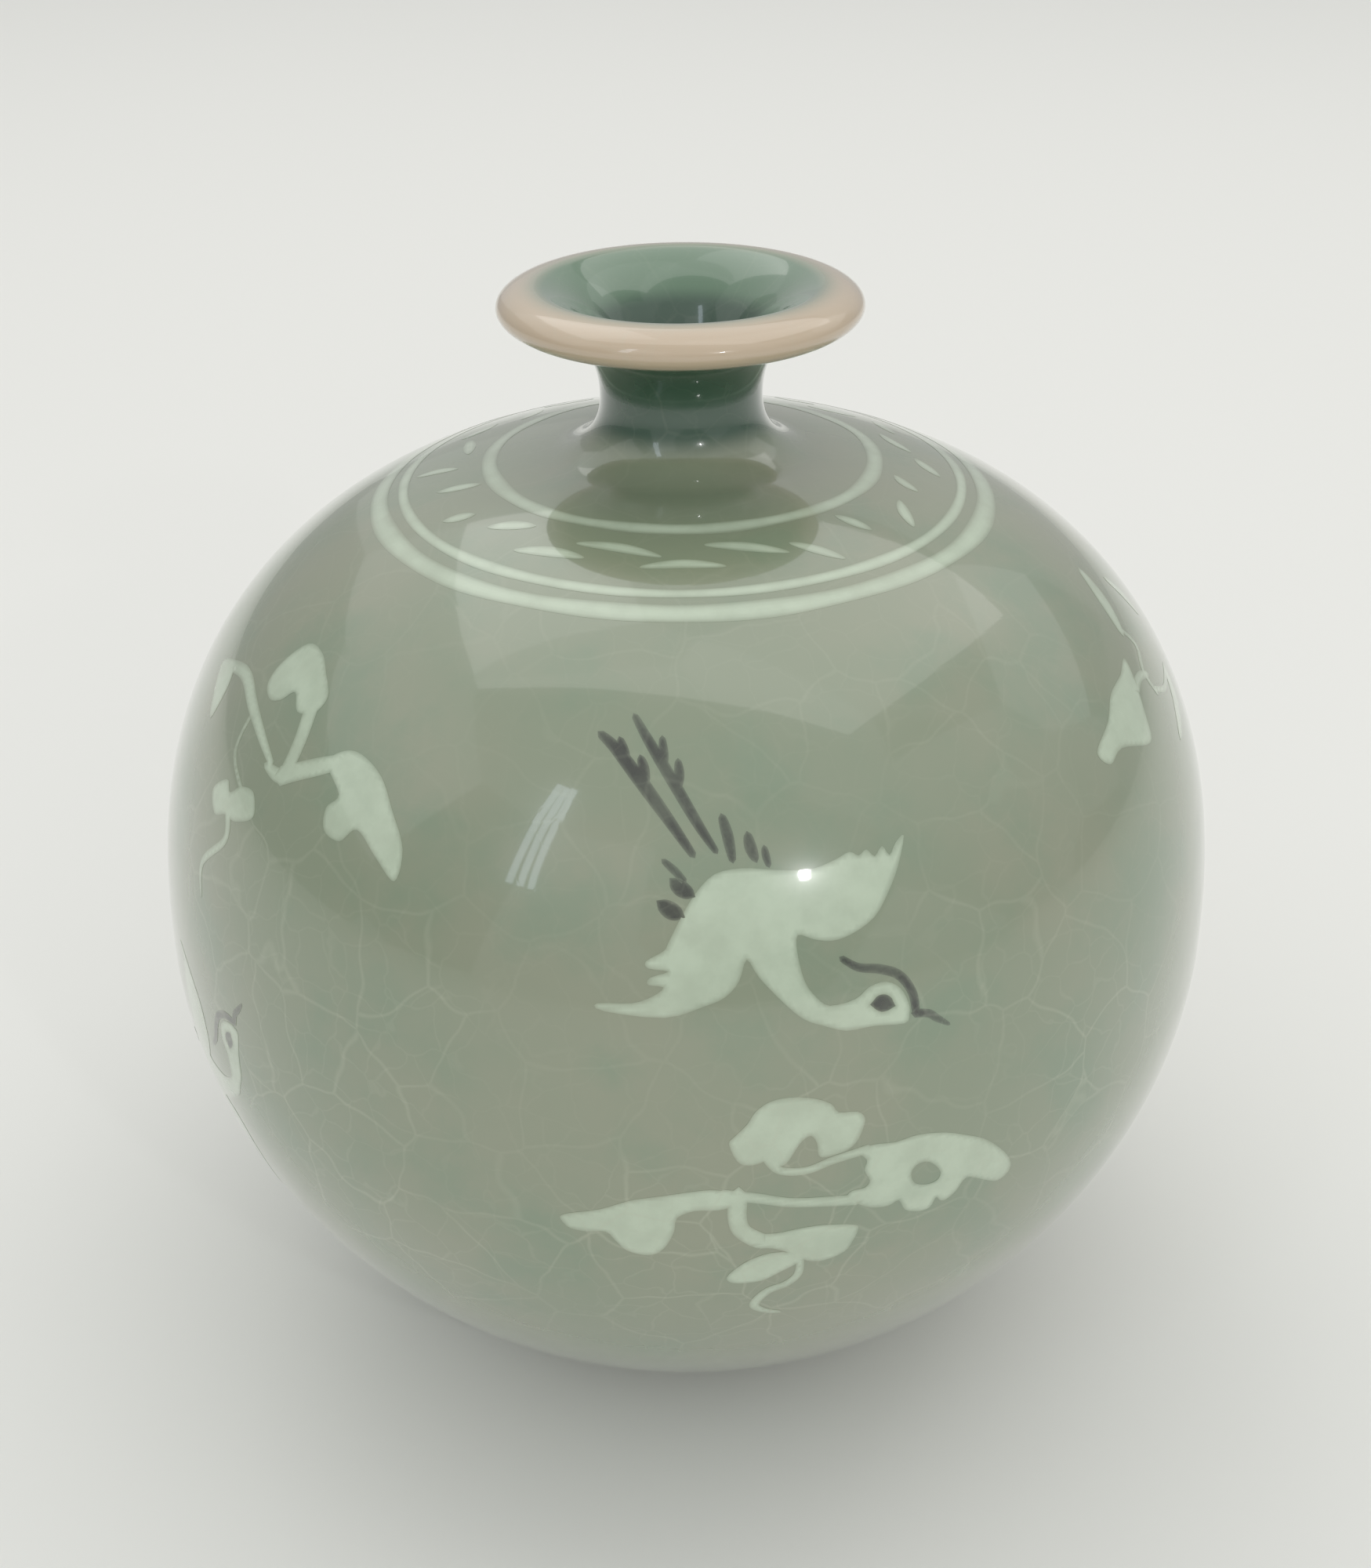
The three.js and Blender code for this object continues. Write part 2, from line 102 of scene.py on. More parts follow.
class Tree:
    """A material's node tree, with a short method for each kind of node that the glaze uses."""

    def __init__(self, name):
        self.material = bpy.data.materials.new(name)
        self.material.use_nodes = True
        self.nodes = self.material.node_tree.nodes
        self.links = self.material.node_tree.links
        self.shader = self.nodes["Principled BSDF"]
        self.place = self.nodes.new("ShaderNodeTexCoord").outputs["Object"]

    def put(self, source, socket):
        """Links a socket to a socket, or sets the socket to a plain value."""
        if isinstance(source, bpy.types.NodeSocket):
            self.links.new(source, socket)
        else:
            socket.default_value = source

    def math(self, operation, a, b=0.0):
        node = self.nodes.new("ShaderNodeMath")
        node.operation = operation
        node.use_clamp = operation in {"ADD", "MULTIPLY"}
        self.put(a, node.inputs[0])
        self.put(b, node.inputs[1])
        return node.outputs[0]

    def mix(self, factor, a, b, blend="MIX"):
        node = self.nodes.new("ShaderNodeMix")
        node.data_type = "RGBA"
        node.blend_type = blend
        self.put(factor, node.inputs[0])
        self.put(a, node.inputs[6])
        self.put(b, node.inputs[7])
        return node.outputs[2]

    def step(self, value, low, high, start=0.0, end=1.0):
        node = self.nodes.new("ShaderNodeMapRange")
        node.interpolation_type = "SMOOTHSTEP"
        self.put(value, node.inputs[0])
        for index, number in enumerate((low, high, start, end), 1):
            node.inputs[index].default_value = number
        return node.outputs[0]

    def noise(self, scale, detail=3.0, rough=0.55):
        node = self.nodes.new("ShaderNodeTexNoise")
        self.put(self.place, node.inputs["Vector"])
        node.inputs["Scale"].default_value = scale
        node.inputs["Detail"].default_value = detail
        node.inputs["Roughness"].default_value = rough
        return node

    def crackle(self, scale, width, wander):
        """Thin lines along the edges of Voronoi cells, bent by a noise so that none is straight."""
        bend = self.noise(scale * 0.9, 2.0)
        shift = self.nodes.new("ShaderNodeVectorMath")
        shift.operation = "MULTIPLY_ADD"
        self.put(bend.outputs["Color"], shift.inputs[0])
        shift.inputs[1].default_value = (wander,) * 3
        self.put(self.place, shift.inputs[2])
        cells = self.nodes.new("ShaderNodeTexVoronoi")
        cells.feature = "DISTANCE_TO_EDGE"
        self.put(shift.outputs[0], cells.inputs["Vector"])
        cells.inputs["Scale"].default_value = scale
        return self.step(cells.outputs["Distance"], 0.0, width, 1.0, 0.0)


# %% The glaze's greens
GREY_GREEN = linear(131, 142, 119)
WARM_GREY = linear(138, 144, 122)
COOL_GREEN = linear(113, 137, 113)
# The neck's dark green: glaze pooled thick there, darkened further as painted shade and a painted
# reflection of the dim room.
NECK_POOL_AND_SHADE_GREEN = linear(40, 76, 56)
MOUTH_GREEN = linear(88, 120, 94)
LIP_BEIGE = linear(190, 171, 147)
CRACK_PALE = linear(178, 184, 163)
CLAY_GREY = linear(150, 135, 115)
WHITE_SLIP = linear(189, 204, 182)
BLACK_SLIP = linear(26, 29, 25)

# %% Where the glaze changes: spans of height and of radius, in metres from the foot and the axis
NECK_REACH, NECK_RISE = (0.0095, 0.0155), (0.1135, 0.1165)
MOUTH_REACH, MOUTH_RISE = (0.0145, 0.0175), (0.1255, 0.1275)
RIM_REACH, RIM_RISE = (0.0145, 0.0182), (0.1235, 0.1262)
CRACKLE_FADE = (0.045, 0.11)
BARE_CLAY = (0.0006, 0.0016)

# %% How strong the crackle, the gloss and the bumps are
WIDE_CRACKLE, FINE_CRACKLE = 0.26, 0.13
GLAZE_IOR, COAT_IOR, COAT_ROUGHNESS = 1.52, 1.6, 0.04
BUMP_STRENGTH, BUMP_DISTANCE = 0.12, 0.0004


def glaze_colour(tree):
    """The colour of the glaze at each place, and the height there for the other steps."""
    apart = tree.nodes.new("ShaderNodeSeparateXYZ")
    tree.put(tree.place, apart.inputs[0])
    height = apart.outputs[2]
    flat = tree.nodes.new("ShaderNodeVectorMath")
    flat.operation = "MULTIPLY"
    tree.put(tree.place, flat.inputs[0])
    flat.inputs[1].default_value = (1, 1, 0)
    reach = tree.nodes.new("ShaderNodeVectorMath")
    reach.operation = "LENGTH"
    tree.put(flat.outputs[0], reach.inputs[0])
    radius = reach.outputs["Value"]
    cloudy = tree.step(tree.noise(26, 4).outputs[0], 0.42, 0.62)
    mottled = tree.step(tree.noise(75, 5).outputs[0], 0.45, 0.7)
    colour = tree.mix(cloudy, GREY_GREEN, WARM_GREY)
    colour = tree.mix(tree.math("MULTIPLY", mottled, 0.5), colour, COOL_GREEN)
    # The dark neck is partly real pooled glaze and partly painted shade and painted reflection.
    near_axis = tree.step(radius, *NECK_REACH, 1.0, 0.0)
    neck_pool_and_shade = tree.math("MULTIPLY", near_axis, tree.step(height, *NECK_RISE))
    colour = tree.mix(neck_pool_and_shade, colour, NECK_POOL_AND_SHADE_GREEN)
    within = tree.step(radius, *MOUTH_REACH, 1.0, 0.0)
    mouth = tree.math("MULTIPLY", tree.step(height, *MOUTH_RISE), within)
    colour = tree.mix(mouth, colour, MOUTH_GREEN)
    rim = tree.math("MULTIPLY", tree.step(radius, *RIM_REACH), tree.step(height, *RIM_RISE))
    return tree.mix(rim, colour, LIP_BEIGE), height


def finish_material(name, slip_colour=None, cover=1.0):
    """The glaze, over the grey clay or over a slip that covers it by a share."""
    tree = Tree(name)
    colour, height = glaze_colour(tree)
    if slip_colour:
        slip = tree.nodes.new("ShaderNodeAttribute")
        slip.attribute_name = "slip"
        thin = tree.step(tree.noise(240, 4).outputs[0], 0.3, 0.75, cover, cover * 0.72)
        colour = tree.mix(tree.math("MULTIPLY", slip.outputs["Fac"], thin), colour, slip_colour)
    low = tree.step(height, *CRACKLE_FADE, 1.0, 0.25)
    wide = tree.math("MULTIPLY", tree.crackle(95, 0.028, 0.006), WIDE_CRACKLE)
    fine = tree.math("MULTIPLY", tree.crackle(210, 0.04, 0.004), FINE_CRACKLE)
    lines = tree.math("MULTIPLY", tree.math("ADD", wide, fine), low)
    patchy = tree.step(tree.noise(34, 2).outputs[0], 0.4, 0.6, 0.35, 1.0)
    lines = tree.math("MULTIPLY", lines, patchy)
    colour = tree.mix(lines, colour, CRACK_PALE)
    bare = tree.step(height, *BARE_CLAY, 1.0, 0.0)
    colour = tree.mix(bare, colour, CLAY_GREY)
    tree.put(colour, tree.shader.inputs["Base Color"])
    rough = tree.step(tree.noise(60, 3).outputs[0], 0.3, 0.7, 0.16, 0.26)
    rough = tree.math("ADD", rough, tree.math("MULTIPLY", bare, 0.5))
    tree.put(rough, tree.shader.inputs["Roughness"])
    tree.shader.inputs["IOR"].default_value = GLAZE_IOR
    tree.shader.inputs["Coat Weight"].default_value = 1.0
    tree.shader.inputs["Coat IOR"].default_value = COAT_IOR
    tree.shader.inputs["Coat Roughness"].default_value = COAT_ROUGHNESS
    bump = tree.nodes.new("ShaderNodeBump")
    bump.inputs["Strength"].default_value = BUMP_STRENGTH
    bump.inputs["Distance"].default_value = BUMP_DISTANCE
    swell = tree.noise(55, 2).outputs[0]
    tree.put(tree.math("SUBTRACT", swell, tree.math("MULTIPLY", lines, 0.3)), bump.inputs["Height"])
    tree.put(bump.outputs[0], tree.shader.inputs["Normal"])
    tree.put(bump.outputs[0], tree.shader.inputs["Coat Normal"])
    return tree.material


glaze = finish_material("celadon_glaze")
white_slip = finish_material("white_slip", WHITE_SLIP, 0.9)
black_slip = finish_material("black_slip", BLACK_SLIP, 0.94)
print("materials", [m.name for m in (glaze, white_slip, black_slip)])

# %% [markdown]
# ## The body
#
# A potter turns the body on a wheel, so we spin its profile round the vertical axis: one closed
# line from under the foot, up the belly, round the lip and down the inside to the floor. Curves
# and the superellipse formula give the line its points, and Spin turns it in many small steps.

# %% Helpers: the selection, curves and new objects
def deselect():
    if bpy.context.object and bpy.context.object.mode != "OBJECT":
        bpy.ops.object.mode_set(mode="OBJECT")
    bpy.ops.object.select_all(action="DESELECT")


def select_only(piece):
    deselect()
    piece.select_set(True)
    bpy.context.view_layer.objects.active = piece


def bend(start, pull, end, steps):
    """A quadratic curve from start to end, pulled towards a third point."""
    points = []
    for i in range(steps + 1):
        t = i / steps
        shares = ((1 - t) ** 2, 2 * t * (1 - t), t * t)
        corners = zip(start, pull, end)
        points.append(tuple(sum(s * c for s, c in zip(shares, corner)) for corner in corners))
    return points


def quarter(radius, rise, fullness, rows):
    """A quarter of a superellipse, from the girth to the axis; a negative rise goes down."""
    points = []
    for i in range(rows + 1):
        angle = math.pi / 2 * i / rows
        across = math.cos(angle) ** (2 / fullness) if i < rows else 0.0
        points.append((radius * across, GIRTH_HEIGHT + rise * math.sin(angle) ** (2 / fullness)))
    return points


def make_object(name, verts, edges=(), faces=()):
    mesh = bpy.data.meshes.new(name)
    mesh.from_pydata([tuple(c * MM for c in v) for v in verts], list(edges), list(faces))
    piece = bpy.data.objects.new(name, mesh)
    bpy.context.scene.collection.objects.link(piece)
    select_only(piece)
    return piece


def spin_round():
    """Spins the profile of the selected object once round the vase's axis."""
    bpy.ops.object.mode_set(mode="EDIT")
    bpy.ops.mesh.select_all(action="SELECT")
    bpy.ops.mesh.spin(steps=SPIN_STEPS, angle=2 * math.pi, center=(0, 0, 0), axis=(0, 0, 1))
    bpy.ops.mesh.select_all(action="SELECT")
    bpy.ops.mesh.remove_doubles(threshold=1e-6)
    bpy.ops.mesh.normals_make_consistent(inside=False)
    bpy.ops.object.mode_set(mode="OBJECT")
    bpy.ops.object.shade_smooth()


# %% The profile
def vessel_profile():
    foot_inner = FOOT_RADIUS - FOOT_WIDTH
    line = [(0, FOOT_RECESS), (foot_inner - 0.6, FOOT_RECESS), (foot_inner, FOOT_RECESS - 0.5)]
    line += [(foot_inner, FOOT_EDGE), (foot_inner + 0.25, 0.25), (foot_inner + FOOT_EDGE, 0)]
    line += [(FOOT_RADIUS - FOOT_EDGE, 0), (FOOT_RADIUS - 0.2, 0.25), (FOOT_RADIUS, FOOT_EDGE)]
    bowl_start = (surface_radius(3.4), 3.6)
    line += bend((FOOT_RADIUS + 0.3, 1.8), (FOOT_RADIUS + 0.6, FOOT_HEIGHT + 0.2), bowl_start, 6)
    bowl = quarter(GIRTH_RADIUS, -BOWL_DEPTH, BOWL_FULLNESS, 60)[::-1]
    line += [p for p in bowl if p[1] > FOOT_HEIGHT + 1]
    shoulder = quarter(GIRTH_RADIUS, SHOULDER_RISE, SHOULDER_FULLNESS, 80)[1:]
    line += [p for p in shoulder if p[0] > FILLET_RADIUS + 0.3]
    start = (FILLET_RADIUS, shoulder_height(FILLET_RADIUS))
    under = TOTAL_HEIGHT - LIP_THICKNESS
    line += bend(start, (NECK_RADIUS, start[1] + 1.5), (NECK_RADIUS, NECK_HEIGHT), 12)
    line += bend((NECK_RADIUS, NECK_HEIGHT), (NECK_RADIUS, under - 0.8), (MOUTH_RADIUS, under), 14)[1:]
    for i in range(1, 21):
        angle = -math.pi / 2 + math.pi * i / 20
        across = MOUTH_RADIUS + (LIP_RADIUS - MOUTH_RADIUS) * math.cos(angle)
        line.append((across, TOTAL_HEIGHT - LIP_THICKNESS / 2 * (1 - math.sin(angle))))
    throat = (BORE_RADIUS, NECK_HEIGHT)
    line += bend((MOUTH_RADIUS, TOTAL_HEIGHT), (BORE_RADIUS + 2.5, TOTAL_HEIGHT - 2), throat, 18)[1:]
    roof = quarter(GIRTH_RADIUS - WALL, SHOULDER_RISE - WALL, SHOULDER_FULLNESS, 40)[::-1]
    line += [p for p in roof if p[0] > BORE_RADIUS + 1]
    depth = GIRTH_HEIGHT - FOOT_RECESS - FLOOR_THICKNESS
    line += quarter(GIRTH_RADIUS - WALL, -depth, INNER_FULLNESS, 40)[1:]
    return line


profile = vessel_profile()
vessel = make_object(
    "vessel_glazed",
    [(r, 0, z) for r, z in profile],
    [(i, i + 1) for i in range(len(profile) - 1)],
)
spin_round()
vessel.data.materials.append(glaze)
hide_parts("vessel")
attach(vessel, "root")
print("vessel faces", len(vessel.data.polygons))

# %% [markdown]
# ## Inlay patches
#
# On the real vase a motif is carved out of the wall and filled flush with slip. Here each inlay
# is a thin skin laid on the belly. Its outline is drawn flat, filled with a fine net of triangles,
# and every corner of the net is then carried straight back to the belly's surface, just as the
# potter's tool presses it there. Operators can't fill overlapping outlines and a net in one go, so
# this one step uses a Delaunay triangulation. A Solidify modifier gives the skin its thickness.

# %% The skins' sizes, in millimetres
LIFT = 0.02
THICKNESS = 0.3
DEEPEST, HIGHEST, HALVINGS = -16.0, 4.0, 26
SKIN = {
    "white_slip": {"net_size": 0.5, "soft": 0.4, "least": 0.3},
    "black_slip": {"net_size": 0.3, "soft": 0.25, "least": 0.55},
}


# %% Outlines: smooth shapes and brush strokes
def catmull(points, closed, steps):
    """A smooth line through the points, with some steps between each pair."""
    count = len(points)
    result = []
    for i in range(count if closed else count - 1):
        if closed:
            near = [points[(i + k) % count] for k in (-1, 0, 1, 2)]
        else:
            near = [points[min(max(i + k, 0), count - 1)] for k in (-1, 0, 1, 2)]
        for s in range(steps):
            t = s / steps
            weights = (
                -0.5 * t + t * t - 0.5 * t**3,
                1 - 2.5 * t * t + 1.5 * t**3,
                0.5 * t + 2 * t * t - 1.5 * t**3,
                -0.5 * t * t + 0.5 * t**3,
            )
            result.append(tuple(sum(w * p[k] for w, p in zip(weights, near)) for k in (0, 1)))
    if not closed:
        result.append(tuple(points[-1]))
    return result


def smooth(points, steps=5):
    return catmull(points, True, steps)


def brush(points, start_width, middle_width, end_width, steps=8):
    """A stroke whose width swells to its middle, with round ends."""
    line = catmull(points, False, steps)
    left, right = [], []
    for i, (x, y) in enumerate(line):
        t = i / (len(line) - 1)
        ahead, behind = line[min(i + 1, len(line) - 1)], line[max(i - 1, 0)]
        along = Vector((ahead[0] - behind[0], ahead[1] - behind[1])).normalized()
        end = start_width if t < 0.5 else end_width
        half = (end + (middle_width - end) * math.sin(math.pi * t)) / 2
        left.append((x - along.y * half, y + along.x * half))
        right.insert(0, (x + along.y * half, y - along.x * half))
        if i == 0:
            nose = (x - along.x * half, y - along.y * half)
        if i == len(line) - 1:
            tip = (x + along.x * half, y + along.y * half)
    return left + [tip] + right + [nose]


# %% Where a motif lies on the belly
def station(azimuth, height, turn=0.0, size=1.0):
    """A matrix whose X runs round the vase, Y up its surface and Z out of it, in millimetres."""
    angle = math.radians(azimuth)
    radius = surface_radius(height)
    around = Vector((math.cos(angle), math.sin(angle), 0))
    out = Vector((math.sin(angle), -math.cos(angle), -surface_slope(height))).normalized()
    up = out.cross(around)
    place = Matrix((around, up, out)).transposed().to_4x4()
    place.translation = Vector((radius * math.sin(angle), -radius * math.cos(angle), height))
    return place @ Matrix.Rotation(math.radians(turn), 4, "Z") @ Matrix.Diagonal((size, size, 1, 1))


def onto_belly(point, out):
    """Carries a point along a direction to the belly, a hair above it."""
    def outside(distance):
        spot = point + out * distance
        return math.hypot(spot.x, spot.y) - surface_radius(spot.z)
    low, high = DEEPEST, HIGHEST
    for _ in range(HALVINGS):
        middle = (low + high) / 2
        if outside(middle) > 0:
            high = middle
        else:
            low = middle
    spot = point + out * high
    radial = Vector((spot.x, spot.y, -surface_slope(spot.z) * math.hypot(spot.x, spot.y)))
    return spot + radial.normalized() * LIFT


# %% From outlines to a skin
def edge_distance(x, y, edges):
    """How far a point lies from the nearest edge."""
    best = math.inf
    for ax, ay, bx, by in edges:
        dx, dy = bx - ax, by - ay
        length = dx * dx + dy * dy or 1e-9
        t = min(1.0, max(0.0, ((x - ax) * dx + (y - ay) * dy) / length))
        best = min(best, math.hypot(x - ax - t * dx, y - ay - t * dy))
    return best


def inside(x, y, outline):
    """Whether a ray from the point crosses the outline an odd number of times."""
    hit = False
    for i, (bx, by) in enumerate(outline):
        ax, ay = outline[i - 1]
        if (ay > y) != (by > y) and x < (bx - ax) * (y - ay) / (by - ay) + ax:
            hit = not hit
    return hit


def anticlockwise(outline):
    """The outline in the one direction that the triangulation counts as filled."""
    turning = sum(outline[i - 1][0] * y - x * outline[i - 1][1] for i, (x, y) in enumerate(outline))
    return outline if turning > 0 else outline[::-1]


def fill(outlines, holes, net_size, soft):
    """Triangles inside the joined outlines, with a net of inner points and each point's cover."""
    verts, faces, start = [], [], 0
    for outline in [*outlines, *holes]:
        verts += [Vector(p) for p in anticlockwise(outline)]
        faces.append(list(range(start, len(verts))))
        start = len(verts)
    xs = [v.x for v in verts]
    ys = [v.y for v in verts]
    left, bottom = min(xs), min(ys)
    columns = int((max(xs) - left) / net_size)
    rows = int((max(ys) - bottom) / net_size)
    for row in range(rows + 1):
        for column in range(columns + 1):
            x = left + (column + 0.5 * (row % 2)) * net_size
            y = bottom + row * net_size
            if any(inside(x, y, o) for o in outlines) and not any(inside(x, y, h) for h in holes):
                verts.append(Vector((x, y)))
    net, _, cells, _, _, origin = delaunay_2d_cdt(verts, [], faces, 1, 1e-5)
    hole_numbers = set(range(len(outlines), len(outlines) + len(holes)))
    cells = [c for c, ids in zip(cells, origin) if ids and not hole_numbers & set(ids)]
    uses = {}
    for cell in cells:
        for i, a in enumerate(cell):
            key = tuple(sorted((a, cell[i - 1])))
            uses[key] = uses.get(key, 0) + 1
    rim = [(net[a].x, net[a].y, net[b].x, net[b].y) for (a, b), n in uses.items() if n == 1]
    used = sorted({i for c in cells for i in c})
    number = {old: new for new, old in enumerate(used)}
    points = [net[i] for i in used]
    cover = [min(1.0, edge_distance(p.x, p.y, rim) / soft) for p in points]
    return points, [[number[i] for i in c] for c in cells], cover


def lay(name, nodes, outlines, place, material, slot, holes=()):
    """Lays the outlines on the belly as one skin, in the place of the nodes."""
    skin = SKIN[slot]
    least = skin["least"]
    points, cells, cover = fill(outlines, holes, skin["net_size"], skin["soft"])
    out = (place.to_3x3() @ Vector((0, 0, 1))).normalized()
    spots = [onto_belly(place @ Vector((p.x, p.y, 0)), out) for p in points]
    piece = make_object(name, spots, faces=cells)
    slip = piece.data.attributes.new("slip", "FLOAT", "POINT")
    for i, value in enumerate(cover):
        slip.data[i].value = least + (1 - least) * value
    thicken = piece.modifiers.new("thickness", "SOLIDIFY")
    thicken.thickness = THICKNESS * MM
    thicken.offset = -1
    bpy.ops.object.modifier_apply(modifier=thicken.name)
    bpy.ops.object.shade_smooth_by_angle(angle=math.radians(40))
    piece.data.materials.append(material)
    if nodes:
        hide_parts(*nodes)
    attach(piece, "root")
    return piece


# %% [markdown]
# ## Rings and leaf strokes on the shoulder
#
# The rings are cut while the wheel turns, so they are true circles, but their width wavers as the
# slip is scraped level. Each is a narrow strip of profile, spun round and then nudged.

# %% Three rings: radius, width and waver, and how much of each is full slip before it fades
RINGS = {"inner": (21.6, 1.75, 0.10), "middle": (31.4, 1.25, 0.08), "outer": (34.1, 2.05, 0.10)}
RING_CORE, RING_FADE = 0.45, 0.85


def ring(name, radius, width, waver):
    half = width / 2
    spread = [-1, -0.6, -0.2, 0.2, 0.6, 1]
    top = [(radius + half * s, shoulder_height(radius + half * s) + LIFT) for s in spread]
    low = [(r, z - THICKNESS) for r, z in reversed(top)]
    section = top + low
    count = len(section)
    loop = [(i, (i + 1) % count) for i in range(count)]
    piece = make_object(name, [(r, 0, z) for r, z in section], loop)
    spin_round()
    slip = piece.data.attributes.new("slip", "FLOAT", "POINT")
    for vertex in piece.data.vertices:
        r = math.hypot(vertex.co.x, vertex.co.y) / MM
        angle = math.atan2(vertex.co.y, vertex.co.x)
        share = (r - radius) / half
        worn = max(0.0, abs(share) - RING_CORE) / (1 - RING_CORE)
        slip.data[vertex.index].value = 1 - worn * RING_FADE
        drift = waver * (math.sin(3 * angle + radius) + 0.6 * math.sin(7 * angle + 2 * radius))
        swell = 1 + 0.09 * math.sin(5 * angle + radius) + 0.06 * math.sin(13 * angle)
        new = radius + drift + share * half * swell
        drop = shoulder_height(new) - shoulder_height(r)
        vertex.co.x *= new / r
        vertex.co.y *= new / r
        vertex.co.z += drop * MM
    select_only(piece)
    bpy.ops.object.shade_smooth_by_angle(angle=math.radians(40))
    piece.data.materials.append(white_slip)
    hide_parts(f"{name}_inlay")
    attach(piece, "root")
    return piece


for title, (radius, width, waver) in RINGS.items():
    print(title, "ring", len(ring(f"{title}_ring", radius, width, waver).data.polygons), "faces")

# %% Leaf strokes between the rings: turn and length listed one by one where the front shows them
LEAF_COUNT = 24
LEAF_STAGGER = 1.1
LEAF_TURN_OUTER, LEAF_TURN_INNER, LEAF_LENGTH = -10, 20, 5.8
LEAF_HAND = {
    0: (2, 8.8), 1: (-19, 8.6), 2: (-40, 5.8), 3: (-68, 3.8), 4: (42, 4.8), 5: (48, 3.8), 6: (36, 4.6),
    18: (72, 4.8), 19: (68, 4.8), 20: (60, 3.6), 21: (33, 5.4), 22: (12, 7.8), 23: (-9, 8.8),
}
chance = random.Random(7)
leaf_centre = (RINGS["inner"][0] + RINGS["middle"][0]) / 2
for i in range(LEAF_COUNT):
    outer_row = i % 2 == 0
    radius = leaf_centre + (LEAF_STAGGER if outer_row else -LEAF_STAGGER)
    usual_turn = LEAF_TURN_OUTER if outer_row else LEAF_TURN_INNER
    turn, length = LEAF_HAND.get(i, (usual_turn, LEAF_LENGTH))
    turn += chance.uniform(-5, 5)
    length *= chance.uniform(0.95, 1.05)
    bow = 0.03 * length + chance.uniform(-0.1, 0.15)
    middle = chance.uniform(1.35, 1.65)
    leaf = brush([(-length / 2, 0), (0, bow), (length / 2, 0)], 0.4, middle, 0.3)
    number = f"{i + 1:02d}"
    place = station(360 * i / LEAF_COUNT, shoulder_height(radius), turn)
    lay(f"leaf_{number}", [f"leaf_inlay_{number}"], [leaf], place, white_slip, "white_slip")
print("leaf strokes", LEAF_COUNT)

# %% [markdown]
# ## Cranes
#
# Each crane is one white shape, wings spread and neck bent, with black slip for the tail feathers,
# the feathers at the wing, the crown and beak, and the eye. The eye is let into the white, so the
# white skin has a hole where it goes.

# %% The crane's outlines
CRANE_WHITE = smooth([
    (-14.7, -6.1), (-14.1, -6.9), (-8.4, -7.8), (-4.7, -6.9), (-2.6, -6.1), (-1.2, -4.6), (-0.4, -2.6),
    (0.7, -4.4), (3.2, -7.3), (5, -8.9), (6.9, -9.7), (9.1, -10.4), (11.9, -10.2), (15.0, -10.3),
    (15.5, -9.4), (15.4, -8.2), (14.6, -6.7), (13.2, -5.9), (11.5, -6.2), (10, -7.3), (7.5, -7.7),
    (6.2, -6.8), (5.1, -5.1), (4.5, -2.4), (4.6, -0.6), (6.1, -1.1), (7.9, -1.4), (9.9, -0.9),
    (12.2, 0.5), (13.7, 2.7), (14.9, 5.2), (15.7, 8), (14.8, 7.4), (14.1, 6.3), (13.4, 7.2), (12.6, 6.3),
    (11.8, 7), (11, 6.5), (10.1, 6.9), (8.7, 6.3), (6.5, 5.6), (4.4, 5.6), (2.3, 5.8), (-0.4, 6.1),
    (-3, 5.7), (-4.9, 4), (-6.4, 1.8), (-7.7, -0.5), (-8.2, -1.3), (-9.9, -2.2), (-9.7, -2.9),
    (-7.9, -3.3), (-9.6, -3.8), (-9.8, -4.5), (-8.4, -4.8), (-9.4, -5.6), (-11.4, -6.2),
], 3)
INK = 1.3


def ink(points, start_width, middle_width, end_width):
    """A black stroke, a little wider than drawn, as slip spreads at the edge of its cut."""
    return brush(points, start_width * INK, middle_width * INK, end_width * INK)


CRANE_BLACK = {
    "tail_left": [
        ink([(-12.7, 19.3), (-11.4, 17.9), (-9.6, 15.2), (-7.2, 11.4), (-4.9, 7.6)], 0.6, 1.05, 0.55),
        ink([(-10.9, 18.7), (-10.6, 17.6), (-10.4, 16.4)], 0.5, 0.7, 0.4),
        ink([(-9.1, 16.9), (-8.9, 15.9), (-8.7, 14.6)], 0.5, 0.8, 0.4),
    ],
    "tail_right": [
        ink([(-9.3, 20.8), (-8.2, 18.4), (-6.4, 14.8), (-4.2, 10.4), (-2.7, 7.8)], 0.5, 0.9, 0.45),
        ink([(-6.9, 18.6), (-6.9, 17.2), (-6.9, 16)], 0.45, 0.7, 0.4),
        ink([(-5.6, 16.4), (-5.6, 15.2), (-5.7, 14)], 0.45, 0.75, 0.4),
    ],
    "wingtip_low": [ink([(-8.2, 3.2), (-7.3, 2.5), (-6.4, 2)], 0.8, 1.3, 0.7)],
    "wingtip_high": [ink([(-7.7, 7.2), (-6.7, 6.2), (-5.9, 5.2)], 0.4, 0.6, 0.5)],
    "scapular_long": [ink([(-1.9, 11), (-1.5, 9.2), (-1.2, 6.9)], 0.55, 0.85, 0.5)],
    "scapular_short": [ink([(0.4, 9.2), (0.6, 8), (1, 6.8)], 0.55, 0.9, 0.5)],
    "crown_and_beak": [
        ink([(8.8, -3.2), (10.4, -4.2), (12.6, -4.6), (14.5, -5.4), (15.8, -7.2), (16.2, -9.3)],
            0.5, 0.75, 0.65),
        ink([(16.1, -9.4), (17.5, -9.6), (18.4, -10.2), (19.7, -11)], 0.7, 0.65, 0.25),
    ],
    "eye": [ink([(12.0, -8), (12.8, -8), (13.7, -8.3)], 0.8, 1.35, 0.6)],
}
EXTRA_FEATHERS = [
    ink([(-6.9, 5.2), (-6.2, 4.5), (-5.3, 3.9)], 0.8, 1.2, 0.7),
    ink([(1.9, 7.9), (2, 7.1), (2.2, 6.2)], 0.4, 0.6, 0.4),
]
